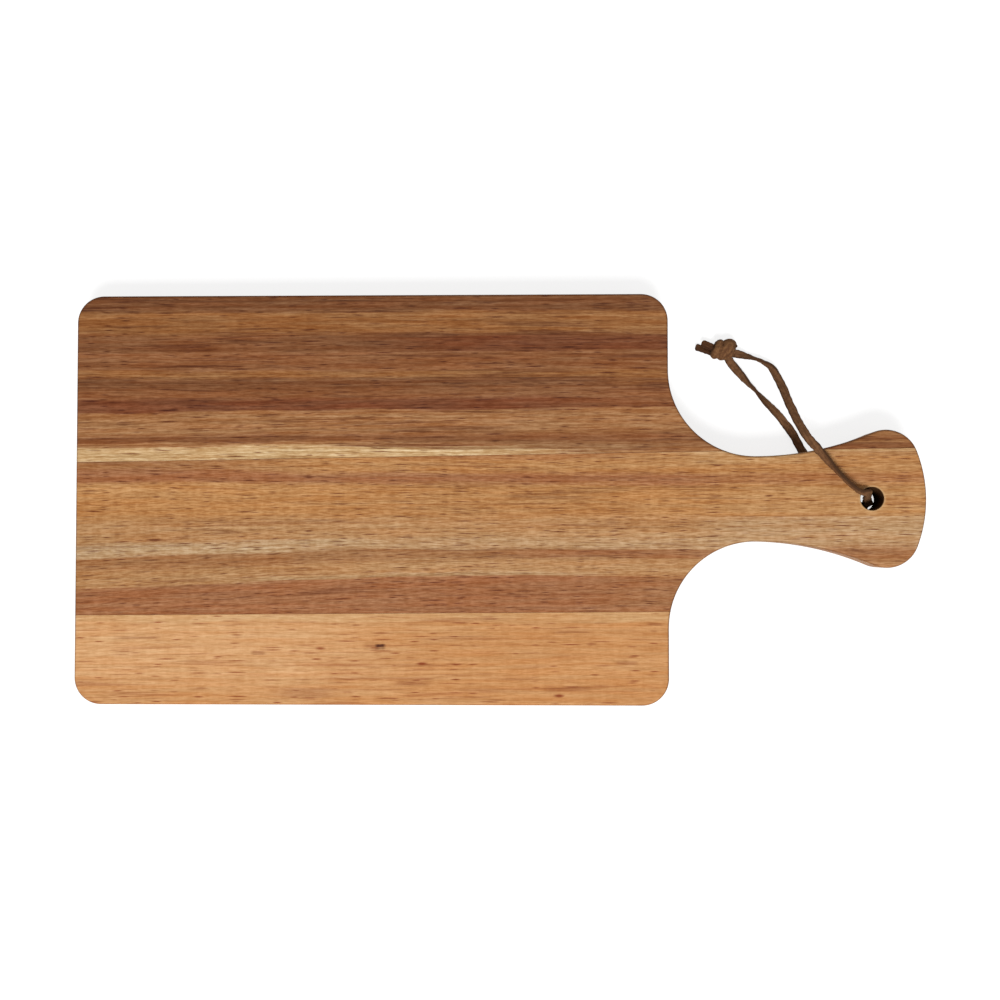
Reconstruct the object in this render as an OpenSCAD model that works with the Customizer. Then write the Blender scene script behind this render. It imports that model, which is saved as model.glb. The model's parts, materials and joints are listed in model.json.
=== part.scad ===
// Paddle serving board, glued up from planks, with a suede hanging loop.
// Millimetres. The table is z = 0, the handle points along +X and the top face looks along +Z.
// The loop's back run lies under the handle, so the board rests on it and on the blade's far edge.

/* [Blade] */
// Length from the end of the blade to the tip of the handle
board_l = 300; // [285:5:340]
// Length of the blade, from its end to the shoulders
blade_l = 210; // [190:1:222]
// Width of the blade
blade_w = 145; // [125:1:180]
// Thickness of the wood
board_t = 15; // [10:0.5:25]
// Radius of the blade's four corners
corner_r = 9.5; // [4:0.5:16]
// Radius of the eased edges, above and below
arris_r = 1; // [0.5:0.1:2]

/* [Handle] */
// Radius in which each shoulder sweeps into the handle
shoulder_r = 30.5; // [20:0.5:36]
// Width of the handle at its waist
waist_w = 30; // [24:0.5:33]
// Width of the handle's flared end
flare_w = 48.5; // [43:0.5:54]
// Radius of the flared end's two corners
flare_r = 11.5; // [9:0.5:16]
// Radius of the crowned tip
tip_r = 47; // [40:1:100]
// Diameter of the hanging hole
hole_d = 8; // [7.5:0.5:10]
// Distance from the hole's centre to the tip
hole_inset = 19; // [15:0.5:24]
// Chamfer at the hole's two mouths
hole_ease = 0.4; // [0.2:0.1:0.8]

/* [Glue-up] */
// Where the upper seam crosses the middle of the board, to the side of the centre line
upper_seam_y = 15.5; // [11:0.5:18]
// Angle between the upper seam and the board's length
upper_seam_turn = 0.9; // [0:0.1:1.4]
// Where the lower seam crosses the middle of the board
lower_seam_y = -40; // [-55:0.5:-30]
// Angle between the lower seam and the board's length
lower_seam_turn = 0.4; // [0:0.1:1.4]
// Thickness of the glue film in the seams
glue_t = 0.15; // [0.1:0.05:0.4]

/* [Hanging loop] */
// Width of the flat lace
lace_w = 3; // [2.5:0.1:4]
// Thickness of the lace
lace_t = 1.2; // [0.8:0.1:2]
// Gap between the lace and the wood that it lies against
lace_gap = 0.3; // [0.2:0.05:0.6]
// Length of the knot along the lace
knot_l = 8.5; // [7:0.5:11]
// Diameter of the knot
knot_d = 7.5; // [6:0.5:10]

/* [Hidden] */
$fn = 64;

// Outline of the wood, all lines and arcs that run into each other smoothly
far_x = -board_l / 2;
tip_x = board_l / 2;
shoulder_x = far_x + blade_l;
blade_h = blade_w / 2;
waist_h = waist_w / 2;
tip_c = tip_x - tip_r;
flare_y = flare_w / 2 - flare_r;
flare_x = tip_c + sqrt(pow(tip_r - flare_r, 2) - pow(flare_y, 2));
tip_turn = atan2(flare_y, flare_x - tip_c);

// The shoulders' fillet, held short of the flared end on a short handle
sweep_room = 1.6 * flare_r;
fillet_r = min(shoulder_r, flare_x - shoulder_x - sweep_room);
waist_x = shoulder_x + fillet_r;

// The long concave sweep starts square to the waist and touches the flare's corner
sweep_run = flare_x - waist_x;
sweep_rise = waist_h - flare_y;
sweep_r = (pow(sweep_run, 2) + pow(sweep_rise, 2) - pow(flare_r, 2)) / (2 * (flare_r - sweep_rise));
sweep_y = waist_h + sweep_r;
sweep_turn = atan2(sweep_y - flare_y, sweep_run);

// How the wood lies on the table, lifted at the handle by the lace beneath it
hole_x = tip_x - hole_inset;
under_run = 22;
rest_x = far_x + arris_r;
tilt = asin((lace_t + lace_gap) / (hole_x - under_run - rest_x));
low_z = (hole_x - rest_x) * tan(tilt);
mid_z = low_z + board_t / 2;
high_z = low_z + board_t + lace_gap;

// Room past the wood for the cuts between the planks
past = 20;

// The lace, from the knot over the handle, down the hole and under the handle to the knot:
// x and y from the hole's axis, height, and turn about its own length
flat_z = lace_t / 2;
lace_route = [
    [-46, 52.9, 3.8, 180],
    [-41.3, 52, 2.6, 128],
    [-37.4, 50.9, 2, 97],
    [-35.3, 49.9, 1.9, 88],
    [-32.4, 47.7, 2.4, 62],
    [-29.7, 41.9, 5, 8],
    [-27.8, 35.3, 9, 0],
    [-25.9, 29, 13, 0],
    [-23.5, 23, high_z + 0.1, 0],
    [-21.3, 19.8, high_z + 0.9, 10],
    [-19.2, 17.4, high_z + 1.3, 28],
    [-16, 13.4, high_z + 1.7, 60],
    [-12.5, 9.4, high_z + 1.8, 84],
    [-8.5, 5.3, high_z + 1.8, 84],
    [-4.7, 2.4, high_z + 1.7, 78],
    [-2.4, 2.1, high_z + 1.1, 46],
    [-1.3, 2, high_z - 1.2, 28],
    [-0.9, 0.9, high_z - 4, 26],
    [-0.2, -0.5, mid_z + 0.5, 30],
    [0.8, -1.95, low_z + 5.7, 34],
    [1.1, -2.07, low_z + 2.9, 28],
    [1.4, -2.2, 0.75, -4],
    [-3, -2.4, flat_z, 0],
    [-7.2, 0.6, flat_z, 0],
    [-12, 6, flat_z, 0],
    [-17, 11.8, flat_z, 0],
    [-21.4, 18, flat_z, 0],
    [-24.7, 24.1, flat_z, 0],
    [-28, 28.5, flat_z + 0.2, 5],
    [-31, 32, flat_z + 0.5, 20],
    [-35, 36, flat_z + 1, 50],
    [-38.5, 40, flat_z + 1, 85],
    [-40.5, 42, flat_z + 1, 100],
    [-43.9, 46, flat_z + 0.9, 140],
    [-46.6, 49.3, flat_z + 0.5, 170],
    [-48, 51.6, flat_z + 0.8, 180]
];
front_end = 14;
back_start = 22;
loop_way = unit([lace_route[front_end].x, lace_route[front_end].y]);

// The knot and the two cut ends that stick out of it
knot_place = [-49.9, 54.3, knot_d / 2];
knot_heading = -17;
tail_routes = [
    [[-52.6, 53.3, 2.2, 0], [-54.8, 54, 1.5, 0], [-57, 54.8, 1, 0], [-59.7, 55.7, 0.8, 0]],
    [[-52.2, 54.1, 4.6, 0], [-54.2, 55.2, 3.6, 0], [-56, 56.1, 2.9, 0], [-57.6, 56.9, 2.4, 0]]
];

wood_dark = [0.50, 0.31, 0.19];
wood_mid = [0.69, 0.49, 0.31];
wood_pale = [0.80, 0.59, 0.40];
glue_brown = [0.36, 0.23, 0.14];
suede_brown = [0.40, 0.27, 0.17];

function unit(v) = v / norm(v);

// Points on an arc from angle a to angle b; the last one is left out where another arc follows
function arc(c, r, a, b, steps, last = true) = [
    for (i = [0:steps - (last ? 0 : 1)]) c + r * [cos(a + (b - a) * i / steps), sin(a + (b - a) * i / steps)]
];

// The lower half of the outline, drawn in by d, from the far end to the tip
corner_steps = 8;
shoulder_i = 2 * corner_steps + 1;
function half_outline(d) = concat(
    arc([far_x + corner_r, corner_r - blade_h], corner_r - d, 180, 270, corner_steps),
    arc([shoulder_x - corner_r, corner_r - blade_h], corner_r - d, 270, 360, corner_steps),
    arc([waist_x, -waist_h - fillet_r], fillet_r + d, 180, 90, 12, false),
    arc([waist_x, -sweep_y], sweep_r + d, 90, sweep_turn, 8, false),
    arc([flare_x, -flare_y], flare_r - d, sweep_turn - 180, -tip_turn, 12, false),
    arc([tip_c, 0], tip_r - d, -tip_turn, 0, 4, false)
);

function whole_outline(d) = let (half = half_outline(d), n = len(half)) concat(
    half,
    [[tip_x - d, 0]],
    [for (i = [n - 1:-1:0]) [half[i].x, -half[i].y]]
);

// Distance in from the outline and height of each step round the eased edges
ease_steps = 3;
eased = [
    for (i = [0:ease_steps])
        let (a = 90 * i / ease_steps)
            [arris_r * (1 - sin(a)), arris_r * (1 - cos(a))]
];
levels = concat(eased, [for (i = [ease_steps:-1:0]) [eased[i][0], board_t - eased[i][1]]]);

function seam_y(y, turn, x) = y + x * tan(turn);

// A closed skin of triangles over rings of points with the same count.
// The cap's faces close the first ring, and the same faces turned round close the last one.
module skin(rings, cap) {
    n = len(rings[0]);
    last = (len(rings) - 1) * n;
    polyhedron(
        points = [for (ring = rings) each ring],
        faces = concat(
            cap,
            [for (k = [0:len(rings) - 2], i = [0:n - 1], half = [0, 1])
                let (a = k * n + i, b = k * n + (i + 1) % n)
                    half == 0 ? [a, a + n, b + n] : [a, b + n, b]],
            [for (face = cap) [for (i = [len(face) - 1:-1:0]) last + face[i]]]
        )
    );
}

// Faces across the board's outline, each between a stretch of its lower half and the mirror of that.
// The shoulder is square to the board's length, so its two points share a face with the one before.
function across(n) = concat(
    [for (i = [0:n - 2]) if (i != shoulder_i)
        let (next = i + 1 == shoulder_i ? [i + 1, i + 2] : [i + 1])
            concat([i], next, [for (k = [len(next) - 1:-1:0]) 2 * n - next[k]], [2 * n - i])],
    [[n - 1, n, n + 1]]
);

// The whole board as it is sawn and eased, before it is taken apart at its seams
module blank() {
    rings = [for (level = levels) [for (p = whole_outline(level[0])) [p.x, p.y, level[1]]]];
    skin(rings, across(len(half_outline(0))));
}

// Everything between two seams, from one end to the other
module band(low, high, from_x, to_x) {
    translate([0, 0, -past])
        linear_extrude(board_t + 2 * past)
            polygon([
                [from_x, seam_y(low[0], low[1], from_x)],
                [to_x, seam_y(low[0], low[1], to_x)],
                [to_x, seam_y(high[0], high[1], to_x)],
                [from_x, seam_y(high[0], high[1], from_x)]
            ]);
}

module on_table() {
    translate([rest_x, 0, 0])
        rotate([0, -tilt, 0])
            translate([-rest_x, 0, 0])
                children();
}

module plank(low, high, from_x, to_x) {
    on_table()
        intersection() {
            blank();
            band(low, high, from_x, to_x);
        }
}

below_all = [-blade_h - past, 0];
under_lower = [lower_seam_y - glue_t / 2, lower_seam_turn];
over_lower = [lower_seam_y + glue_t / 2, lower_seam_turn];
under_upper = [upper_seam_y - glue_t / 2, upper_seam_turn];
over_upper = [upper_seam_y + glue_t / 2, upper_seam_turn];
above_all = [blade_h + past, 0];

module hanging_hole() {
    translate([hole_x, 0, -past])
        cylinder(h = board_t + 2 * past, d = hole_d);
    translate([hole_x, 0, -hole_ease])
        cylinder(h = 2 * hole_ease, d1 = hole_d + 4 * hole_ease, d2 = hole_d);
    translate([hole_x, 0, board_t - hole_ease])
        cylinder(h = 2 * hole_ease, d1 = hole_d, d2 = hole_d + 4 * hole_ease);
}

// Cross-section of the lace, a flat strip with its corners worn off
corner_x = 0.25;
corner_y = 0.3;
lace_section = let (a = lace_w / 2, b = lace_t / 2, c = a - corner_x, e = b - corner_y)
    [[a, -e], [a, e], [c, b], [-c, b], [-a, e], [-a, -e], [-c, -b], [c, -b]];

function place(p) = [p[0], p[1], p[2]];
function heading(route, i) =
    unit(place(route[min(i + 1, len(route) - 1)]) - place(route[max(i - 1, 0)]));
function square_to(v, t) = unit(v - (v * t) * t);

// Where the lace's face looks: up on the front run, down on the back run, and round between them
function face_way(i) =
    let (a = 180 * min(max((i - front_end) / (back_start - front_end), 0), 1))
        [-loop_way.x * sin(a), -loop_way.y * sin(a), cos(a)];

function lace_ring(p, t, way) = let (f = square_to(way, t), side = cross(f, t), a = p[3]) [
    for (q = lace_section)
        place(p) + q.x * (side * cos(a) + f * sin(a)) + q.y * (f * cos(a) - side * sin(a))
];

function lace_rings(route, ways) =
    [for (i = [0:len(route) - 1]) lace_ring(route[i], heading(route, i), ways[i])];
lace_end = [[for (i = [0:len(lace_section) - 1]) i]];

loop_rings = lace_rings(lace_route, [for (i = [0:len(lace_route) - 1]) face_way(i)]);

module at_hole() {
    translate([hole_x, 0, 0])
        children();
}

module lace_stretch(first, last) {
    at_hole()
        skin([for (i = [first:last]) loop_rings[i]], lace_end);
}

module upper_stave() {
    color(wood_dark) plank(over_upper, above_all, far_x - past, waist_x);
}

module middle_stave() {
    color(wood_mid)
        difference() {
            plank(over_lower, under_upper, far_x - past, tip_x + past);
            on_table() hanging_hole();
        }
}

module lower_stave() {
    color(wood_pale) plank(below_all, under_lower, far_x - past, waist_x);
}

module handle_slip() {
    color(wood_dark) plank(over_upper, above_all, waist_x, tip_x + past);
}

module upper_glue_line() {
    color(glue_brown) plank(under_upper, over_upper, far_x - past, waist_x);
}

module lower_glue_line() {
    color(glue_brown) plank(under_lower, over_lower, far_x - past, waist_x);
}

module slip_glue_line() {
    color(glue_brown) plank(under_upper, over_upper, waist_x, tip_x + past);
}

module thong_front_run() {
    color(suede_brown) lace_stretch(0, front_end);
}

module thong_bight() {
    color(suede_brown) lace_stretch(front_end, back_start);
}

module thong_back_run() {
    color(suede_brown) lace_stretch(back_start, len(lace_route) - 1);
}

// Two turns of the lace side by side, drawn tight
module thong_knot() {
    steps = 16;
    waist = 0.08;
    color(suede_brown)
        at_hole()
            translate(knot_place)
                rotate([0, 90, knot_heading])
                    rotate_extrude()
                        polygon(concat(
                            [[0, -knot_l / 2]],
                            [for (i = [0:steps])
                                let (u = 2 * i / steps - 1, swell = sqrt(1 - 0.75 * pow(u, 4)))
                                    [knot_d / 2 * (swell - waist * pow(cos(90 * u), 4)), u * knot_l / 2]],
                            [[0, knot_l / 2]]
                        ));
}

module thong_tails() {
    color(suede_brown)
        at_hole()
            for (route = tail_routes)
                skin(lace_rings(route, [for (p = route) [0, 0, 1]]), lace_end);
}

upper_stave();
middle_stave();
lower_stave();
handle_slip();
upper_glue_line();
lower_glue_line();
slip_glue_line();
thong_front_run();
thong_bight();
thong_back_run();
thong_knot();
thong_tails();
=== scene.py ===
import json
import math
import bmesh
import bpy
from mathutils import Matrix, Vector, noise


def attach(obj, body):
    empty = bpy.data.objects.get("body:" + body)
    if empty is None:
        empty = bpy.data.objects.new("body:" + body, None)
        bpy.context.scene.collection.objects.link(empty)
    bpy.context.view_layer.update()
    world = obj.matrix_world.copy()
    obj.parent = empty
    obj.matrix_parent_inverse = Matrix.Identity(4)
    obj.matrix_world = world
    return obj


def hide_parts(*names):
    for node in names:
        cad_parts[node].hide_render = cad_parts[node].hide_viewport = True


# Paddle serving board: oiled planks, fine glue lines and a knotted suede lace
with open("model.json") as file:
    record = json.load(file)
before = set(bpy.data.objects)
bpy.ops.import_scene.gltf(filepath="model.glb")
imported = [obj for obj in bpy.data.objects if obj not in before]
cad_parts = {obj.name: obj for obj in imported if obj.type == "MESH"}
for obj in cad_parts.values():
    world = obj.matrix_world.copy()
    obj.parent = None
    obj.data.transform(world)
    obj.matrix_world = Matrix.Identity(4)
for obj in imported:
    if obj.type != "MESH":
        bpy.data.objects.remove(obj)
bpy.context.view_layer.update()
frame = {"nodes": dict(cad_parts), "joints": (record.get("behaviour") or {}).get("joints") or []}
hinge = frame["joints"][0]  # the loop swings round the hanging hole
holeMid = Vector(hinge["pos_m"])
boardUp = Vector(hinge["axis"])
boardTilt = math.atan2(-boardUp.x, boardUp.z)
print("frame loaded:", len(frame["nodes"]), "nodes")


# Camera, straight above the blade and a little to the near side

photoView = {
    "eye": (0.01056, -0.01628, 0.511),
    "target": (0.00066, -0.00038, 0.016),
    "lens": 50.64,
    "clipStart": 0.01,
}


def addCamera(view):
    bpy.ops.object.select_all(action="DESELECT")
    bpy.ops.object.camera_add(location=view["eye"])
    camera = bpy.context.object
    back = (Vector(view["eye"]) - Vector(view["target"])).normalized()
    right = Vector((0, 1, 0)).cross(back).normalized()  # the board's width runs up the picture
    camera.rotation_euler = Matrix((right, back.cross(right), back)).transposed().to_euler()
    camera.data.lens = view["lens"]
    camera.data.clip_start = view["clipStart"]
    bpy.context.scene.camera = camera


addCamera(photoView)
print("camera set")


# Sizes of the wood, shared by the planks and by the lace that goes through them

boardSizes = {
    "length": 0.3,
    "bladeLength": 0.21,
    "bladeWidth": 0.145,
    "thickness": 0.015,
    "cornerRadius": 0.0095,
    "arris": 0.001,
    "shoulderRadius": 0.0305,
    "waist": 0.03,
    "flare": 0.0485,
    "flareRadius": 0.0115,
    "tipRadius": 0.047,
    "holeDiameter": 0.008,
    "holeInset": 0.019,
    "holeEase": 0.0004,
    "upperSeam": (0.0155, 0.9),  # where it crosses the middle, and its turn in degrees
    "lowerSeam": (-0.04, 0.4),
    "glue": 0.00015,
}
holeX = boardSizes["length"] / 2 - boardSizes["holeInset"]
midZ = holeMid.z
lowZ = midZ - boardSizes["thickness"] / 2
laceGap = 0.0003
highZ = midZ + boardSizes["thickness"] / 2 + laceGap


# Node helpers for the materials

def linear(red, green, blue):
    # a colour as the eye names it, 0 to 255, as Blender wants it
    parts = []
    for c in (red / 255, green / 255, blue / 255):
        parts.append(c / 12.92 if c <= 0.04045 else ((c + 0.055) / 1.055) ** 2.4)
    return (*parts, 1)


def newMaterial(name):
    material = bpy.data.materials.new(name)
    material.use_nodes = True
    tree = material.node_tree
    shader = tree.nodes["Principled BSDF"]
    return material, tree, shader


def plug(tree, socket, value):
    # a socket takes a link, a number or a colour
    if isinstance(value, bpy.types.NodeSocket):
        tree.links.new(value, socket)
    else:
        socket.default_value = value


def sums(tree, operation, first, second=0.0, third=0.0):
    node = tree.nodes.new("ShaderNodeMath")
    node.operation = operation
    for socket, value in zip(node.inputs, (first, second, third)):
        plug(tree, socket, value)
    return node.outputs[0]


def spread(tree, value, low, high, toLow=0.0, toHigh=1.0):
    # a value between two ends, smoothly eased and held at both
    node = tree.nodes.new("ShaderNodeMapRange")
    node.interpolation_type = "SMOOTHSTEP"
    for socket, setting in zip(node.inputs, (value, low, high, toLow, toHigh)):
        plug(tree, socket, setting)
    return node.outputs[0]


def drawnOut(tree, place, run, across, shift):
    # a pattern's length along the plank, and its width across it
    mapping = tree.nodes.new("ShaderNodeMapping")
    mapping.inputs["Location"].default_value = (shift, shift * 1.7, shift * 0.6)
    mapping.inputs["Scale"].default_value = (1 / run, 1 / across, 1 / across)
    tree.links.new(place, mapping.inputs["Vector"])
    return mapping.outputs[0]


def speckle(tree, place, scale, detail, roughness=0.5):
    texture = tree.nodes.new("ShaderNodeTexNoise")
    texture.inputs["Scale"].default_value = scale
    texture.inputs["Detail"].default_value = detail
    texture.inputs["Roughness"].default_value = roughness
    tree.links.new(place, texture.inputs["Vector"])
    return texture.outputs["Fac"]


def grain(tree, place, run, across, detail=2.0, shift=0.0, roughness=0.5):
    return speckle(tree, drawnOut(tree, place, run, across, shift), 1, detail, roughness)


def openPores(tree, place, run, across, reach, rare, shift):
    # short dashes, at most one in each cell: the rarer, the more cells stay empty
    cells = tree.nodes.new("ShaderNodeTexVoronoi")
    cells.inputs["Scale"].default_value = 1
    tree.links.new(drawnOut(tree, place, run, across, shift), cells.inputs["Vector"])
    dash = spread(tree, cells.outputs["Distance"], 0.05, reach, 1.0, 0.0)
    chance = tree.nodes.new("ShaderNodeSeparateColor")
    tree.links.new(cells.outputs["Color"], chance.inputs[0])
    return sums(tree, "MULTIPLY", dash, spread(tree, chance.outputs[0], rare, 1.0))


def blendColours(tree, mode, amount, first, second):
    node = tree.nodes.new("ShaderNodeMix")
    node.data_type = "RGBA"
    node.blend_type = mode
    plug(tree, node.inputs[0], amount)
    plug(tree, node.inputs[6], first)
    plug(tree, node.inputs[7], second)
    return node.outputs[2]


def gathered(tree, kind, first, second, third=0.0):
    # three values as one vector or one colour
    node = tree.nodes.new(kind)
    for socket, value in zip(node.inputs, (first, second, third)):
        plug(tree, socket, value)
    return node.outputs[0]


def partsOf(tree, vector):
    node = tree.nodes.new("ShaderNodeSeparateXYZ")
    tree.links.new(vector, node.inputs[0])
    return node.outputs


def dress(tree, shader, colour, roughness, specular):
    plug(tree, shader.inputs["Base Color"], colour)
    plug(tree, shader.inputs["Roughness"], roughness)
    shader.inputs["Specular IOR Level"].default_value = specular


def bumped(tree, shader, height, depth, strength=0.5):
    node = tree.nodes.new("ShaderNodeBump")
    node.inputs["Strength"].default_value = strength
    node.inputs["Distance"].default_value = depth
    tree.links.new(height, node.inputs["Height"])
    tree.links.new(node.outputs[0], shader.inputs["Normal"])


# Mesh helpers

def selectOnly(piece, *others):
    bpy.ops.object.select_all(action="DESELECT")
    for wanted in (piece, *others):
        wanted.select_set(True)
    bpy.context.view_layer.objects.active = piece


def joinPieces(pieces, name):
    selectOnly(*pieces)
    bpy.ops.object.join()
    pieces[0].name = name
    return pieces[0]


def smoothed(piece, degrees):
    selectOnly(piece)
    bpy.ops.object.shade_smooth_by_angle(angle=math.radians(degrees))


# The suede lace: knotted, over the handle, down the hole, under the handle and back

lace = {
    "width": 0.003,
    "thickness": 0.0012,
    "corner": 0.0004,
    "cornerSteps": 3,
    "faceSteps": 6,
    "raggedness": 0.0001,  # how far the cut edges wander
    "ragPitch": (900, 1500),  # how quickly, along and across
    "unevenness": 0.05,  # share by which the width comes and goes
    "unevenPitch": 130,
    "swell": 0.24,  # share by which it spreads inside the hole
    "tipRound": 0.4,  # a tail's rounded end, in points of its route
    "tipLeast": 0.12,
    "lookAhead": 0.05,  # in points of its route
    "smoothAngle": 50,
    "steps": 6,  # rings between two points of the route
    "frontEnd": 14,  # where the front run meets the hole's upper mouth
    "backStart": 22,  # where the back run leaves the lower mouth
}
suedeFinish = {
    "nap": (900, 4),  # scale and detail
    "fibres": (5200, 3),
    "brushed": (1.8, 0.16),  # along and across, in lace widths
    "edge": (0.32, 0.5),  # how far from the middle it darkens
    "edgeAmount": 0.8,
    "flecks": (0.82, 1.12),
    "roughness": 0.92,
    "specular": 0.12,
    "sheen": 0.1,
    "sheenRoughness": 0.6,
    "sheenTint": (196, 150, 104),
    "relief": 0.00012,
}
suedeTones = {"plain": (98, 66, 43), "light": (124, 87, 58), "edge": (64, 41, 26)}
# the knot's edge tone is darker than the lace's: painted shade in the creases between its turns
knotTonesCreaseShade = {"plain": (98, 64, 41), "light": (132, 93, 60), "edge": (48, 30, 20)}
tailTones = {"plain": (88, 54, 34), "light": (108, 71, 45), "edge": (58, 36, 25)}
flatZ = lace["thickness"] / 2

# x and y from the hole's axis, height, and turn about its own length in degrees
laceRoute = [
    (-0.046, 0.0529, 0.0038, 180),
    (-0.0413, 0.052, 0.0026, 128),
    (-0.0374, 0.0509, 0.002, 97),
    (-0.0353, 0.0499, 0.0019, 88),
    (-0.0324, 0.0477, 0.0024, 62),
    (-0.0297, 0.0419, 0.005, 8),
    (-0.0278, 0.0353, 0.009, 0),
    (-0.0259, 0.029, 0.013, 0),
    (-0.0235, 0.023, highZ + 0.0001, 0),
    (-0.0213, 0.0198, highZ + 0.0009, 10),
    (-0.0192, 0.0174, highZ + 0.0013, 28),
    (-0.016, 0.0134, highZ + 0.0017, 60),
    (-0.0125, 0.0094, highZ + 0.0018, 84),
    (-0.0085, 0.0053, highZ + 0.0018, 84),
    (-0.0047, 0.0024, highZ + 0.0017, 78),
    (-0.0024, 0.0021, highZ + 0.0011, 46),
    (-0.0013, 0.002, highZ - 0.0012, 28),
    (-0.0009, 0.0009, highZ - 0.004, 26),
    (-0.0002, -0.0005, midZ + 0.0005, 30),
    (0.0008, -0.00195, lowZ + 0.0057, 34),
    (0.0011, -0.00207, lowZ + 0.0029, 28),
    (0.0014, -0.0022, 0.00075, -4),
    (-0.003, -0.0024, flatZ, 0),
    (-0.0072, 0.0006, flatZ, 0),
    (-0.012, 0.006, flatZ, 0),
    (-0.017, 0.0118, flatZ, 0),
    (-0.0214, 0.018, flatZ, 0),
    (-0.0247, 0.0241, flatZ, 0),
    (-0.028, 0.0285, flatZ + 0.0002, 5),
    (-0.031, 0.032, flatZ + 0.0005, 20),
    (-0.035, 0.036, flatZ + 0.001, 50),
    (-0.0385, 0.04, flatZ + 0.001, 85),
    (-0.0405, 0.042, flatZ + 0.001, 100),
    (-0.0439, 0.046, flatZ + 0.0009, 140),
    (-0.0466, 0.0493, flatZ + 0.0005, 170),
    (-0.048, 0.0516, flatZ + 0.0008, 180),
]
tailRoutes = [
    [(-0.0526, 0.0533, 0.0022, 30), (-0.0548, 0.054, 0.0016, 35),
     (-0.057, 0.0548, 0.0014, 38), (-0.0597, 0.0557, 0.0013, 38)],
    [(-0.0522, 0.0541, 0.0046, 30), (-0.0542, 0.0552, 0.0039, 35),
     (-0.056, 0.0561, 0.0034, 35), (-0.0576, 0.0569, 0.003, 35)],
]


def laceSection():
    # a flat strip with worn corners, counter-clockwise, as (across, out of its face)
    half, thin, corner = lace["width"] / 2, lace["thickness"] / 2, lace["corner"]
    centres = ((1, 1, 0), (-1, 1, 90), (-1, -1, 180), (1, -1, 270))
    points = []
    for sideX, sideY, start in centres:
        for i in range(lace["cornerSteps"] + 1):
            angle = math.radians(start + 90 * i / lace["cornerSteps"])
            points.append((
                sideX * (half - corner) + corner * math.cos(angle),
                sideY * (thin - corner) + corner * math.sin(angle),
            ))
        if sideX == sideY:  # along a flat face, on to the next corner
            for i in range(1, lace["faceSteps"]):
                points.append((sideX * (half - corner) * (1 - 2 * i / lace["faceSteps"]), sideY * thin))
    return points


def curveThrough(points, at):
    # a smooth curve through the points, at a place counted in points
    i = min(int(at), len(points) - 2)
    u = at - i
    p = [Vector(points[min(max(i + k, 0), len(points) - 1)]) for k in (-1, 0, 1, 2)]
    return 0.5 * (
        2 * p[1]
        + u * (p[2] - p[0])
        + u * u * (2 * p[0] - 5 * p[1] + 4 * p[2] - p[3])
        + u * u * u * (3 * p[1] - p[0] - 3 * p[2] + p[3])
    )


def faceWay(at):
    # up on the front run, down on the back run, and round between them
    run = lace["backStart"] - lace["frontEnd"]
    angle = math.pi * min(max((at - lace["frontEnd"]) / run, 0), 1)
    outX, outY = laceRoute[lace["frontEnd"]][:2]
    out = Vector((outX, outY)).normalized()
    return Vector((-out.x * math.sin(angle), -out.y * math.sin(angle), math.cos(angle)))


def upWay(at):
    return Vector((0, 0, 1))


def laceFrame(places, turns, at, way):
    # where the lace is, and which ways its width and its face point
    centre = curveThrough(places, at) + Vector((holeX, 0, 0))
    ahead = curveThrough(places, min(at + lace["lookAhead"], len(places) - 1))
    behind = curveThrough(places, max(at - lace["lookAhead"], 0))
    forward = (ahead - behind).normalized()
    face = way(at)
    face = (face - face.dot(forward) * forward).normalized()
    side = face.cross(forward)
    turn = math.radians(curveThrough(turns, at).x)
    across = side * math.cos(turn) + face * math.sin(turn)
    outward = face * math.cos(turn) - side * math.sin(turn)
    return centre, across, outward


def stripPiece(name, points, uvs, n):
    # rings of n points each, joined into a strip with closed ends
    faces = []
    for start in range(0, len(points) - n, n):
        for k in range(n):
            a, b = start + k, start + (k + 1) % n
            faces.append((a, b, b + n, a + n))
    faces.append(tuple(range(n - 1, -1, -1)))
    faces.append(tuple(range(len(points) - n, len(points))))
    mesh = bpy.data.meshes.new(name)
    mesh.from_pydata(points, [], faces)
    layer = mesh.uv_layers.new(name="laceUv")
    for loop in mesh.loops:
        layer.data[loop.index].uv = uvs[loop.vertex_index]
    piece = bpy.data.objects.new(name, mesh)
    bpy.context.scene.collection.objects.link(piece)
    return piece


def sweepLace(name, route, first, last, way, narrow=1.0, tip=0.0, cup=0.0, swell=0.0):
    # the lace along a stretch of a route: returns the piece and its centre line
    places = [p[:3] for p in route]
    turns = [(p[3], 0, 0) for p in route]
    count = round((last - first) * lace["steps"])
    section = laceSection()
    ragAlong, ragAcross = lace["ragPitch"]
    points, path, uvs = [], [], []
    along = 0.0
    for i in range(count + 1):
        at = first + (last - first) * i / count
        centre, across, outward = laceFrame(places, turns, at, way)
        if path:
            along += (centre - path[-1]).length
        path.append(centre)
        taper = 1 + swell * math.sin(math.pi * (i / count) ** 2)  # widest past half way
        if last - at < tip:  # a rounded end
            taper = math.sqrt(max(1 - (1 - (last - at) / tip) ** 2, lace["tipLeast"]))
        uneven = lace["unevenness"] * noise.noise(Vector((along * lace["unevenPitch"], 3.1, 0)))
        wide = taper * narrow * (1 + uneven)
        for x, y in section:
            rag = lace["raggedness"] * noise.noise(Vector((along * ragAlong, x * ragAcross, y * ragAcross)))
            reach = 1 + rag / lace["thickness"] * 2
            sunk = cup * (2 * x / lace["width"]) ** 2  # edges drawn in, on a tight turn
            points.append(centre + across * (x * wide * reach) + outward * (y * reach - sunk))
            uvs.append((along / lace["width"], x / lace["width"] + 0.5))
    return stripPiece(name, points, uvs, len(section)), path


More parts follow.
